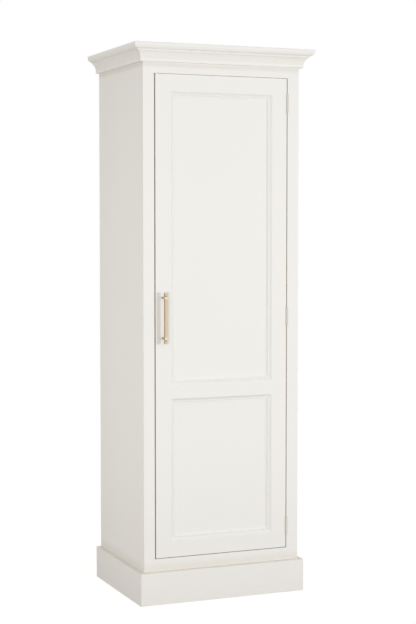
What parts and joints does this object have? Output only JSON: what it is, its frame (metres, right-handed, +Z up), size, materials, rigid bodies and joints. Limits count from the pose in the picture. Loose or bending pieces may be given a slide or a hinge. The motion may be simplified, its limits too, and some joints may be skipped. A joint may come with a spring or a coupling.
{
  "type": "broom cupboard",
  "caption": "Tall painted broom cupboard with a moulded cornice, a planted plinth and an inset panelled door that swings on butt hinges and has a brass bar handle.",
  "frame": {"origin": "on the floor, under the middle of the whole cupboard's box", "axes": "+Z up, the door faces -Y, +X to the right as seen from the front"},
  "size_m": [0.77, 0.585, 2.203],
  "materials": {
    "eggshell_paint": "eggshell paint",
    "interior_paint": "matt paint",
    "bare_softwood": "sawn",
    "bare_plywood": "sanded",
    "peg_beech": "oiled",
    "painted_hinge": "eggshell paint",
    "screw_steel": "zinc plated",
    "satin_brass": "satin",
    "catch_plastic": "moulded"
  },
  "bodies": {
    "carcass": {"back_panel": "bare_plywood", "back_panel_screws": "screw_steel", "base_board": "interior_paint", "base_cleat_left": "bare_softwood", "base_cleat_right": "bare_softwood", "broom_pegs": "peg_beech", "catch_screws": "screw_steel", "cornice_front": "eggshell_paint", "cornice_left": "eggshell_paint", "cornice_right": "eggshell_paint", "frame_bottom_rail": "eggshell_paint", "frame_left_stile": "eggshell_paint", "frame_right_stile": "eggshell_paint", "frame_top_rail": "eggshell_paint", "hinge_frame_screws": "screw_steel", "left_side_panel": "eggshell_paint", "lower_catch": "catch_plastic", "lower_hinge_frame_leaf": "painted_hinge", "lower_hinge_pin": "painted_hinge", "middle_hinge_frame_leaf": "painted_hinge", "middle_hinge_pin": "painted_hinge", "peg_rail": "interior_paint", "plinth_back_rail": "bare_softwood", "plinth_front": "eggshell_paint", "plinth_left": "eggshell_paint", "plinth_right": "eggshell_paint", "right_side_panel": "eggshell_paint", "shelf": "interior_paint", "shelf_pins": "screw_steel", "top_board": "interior_paint", "upper_catch": "catch_plastic", "upper_hinge_frame_leaf": "painted_hinge", "upper_hinge_pin": "painted_hinge", "wall_fixing_rail": "interior_paint"},
    "door": {"door_bottom_rail": "eggshell_paint", "door_hinge_stile": "eggshell_paint", "door_latch_stile": "eggshell_paint", "door_lower_panel": "eggshell_paint", "door_middle_rail": "eggshell_paint", "door_top_rail": "eggshell_paint", "door_upper_panel": "eggshell_paint", "handle_bar": "satin_brass", "handle_lower_post": "satin_brass", "handle_screws": "screw_steel", "handle_upper_post": "satin_brass", "hinge_door_screws": "screw_steel", "lower_hinge_door_leaf": "painted_hinge", "lower_panel_moulding_bottom": "eggshell_paint", "lower_panel_moulding_left": "eggshell_paint", "lower_panel_moulding_right": "eggshell_paint", "lower_panel_moulding_top": "eggshell_paint", "lower_strike_plate": "screw_steel", "middle_hinge_door_leaf": "painted_hinge", "strike_screws": "screw_steel", "upper_hinge_door_leaf": "painted_hinge", "upper_panel_moulding_bottom": "eggshell_paint", "upper_panel_moulding_left": "eggshell_paint", "upper_panel_moulding_right": "eggshell_paint", "upper_panel_moulding_top": "eggshell_paint", "upper_strike_plate": "screw_steel"}
  },
  "joints": [
    {"name": "door_swing", "type": "hinge", "parent": "carcass", "child": "door", "pos_m": [0.28395, -0.2463, 1.13], "axis": [0, 0, 1], "range_deg": [0, 175]}
  ]
}
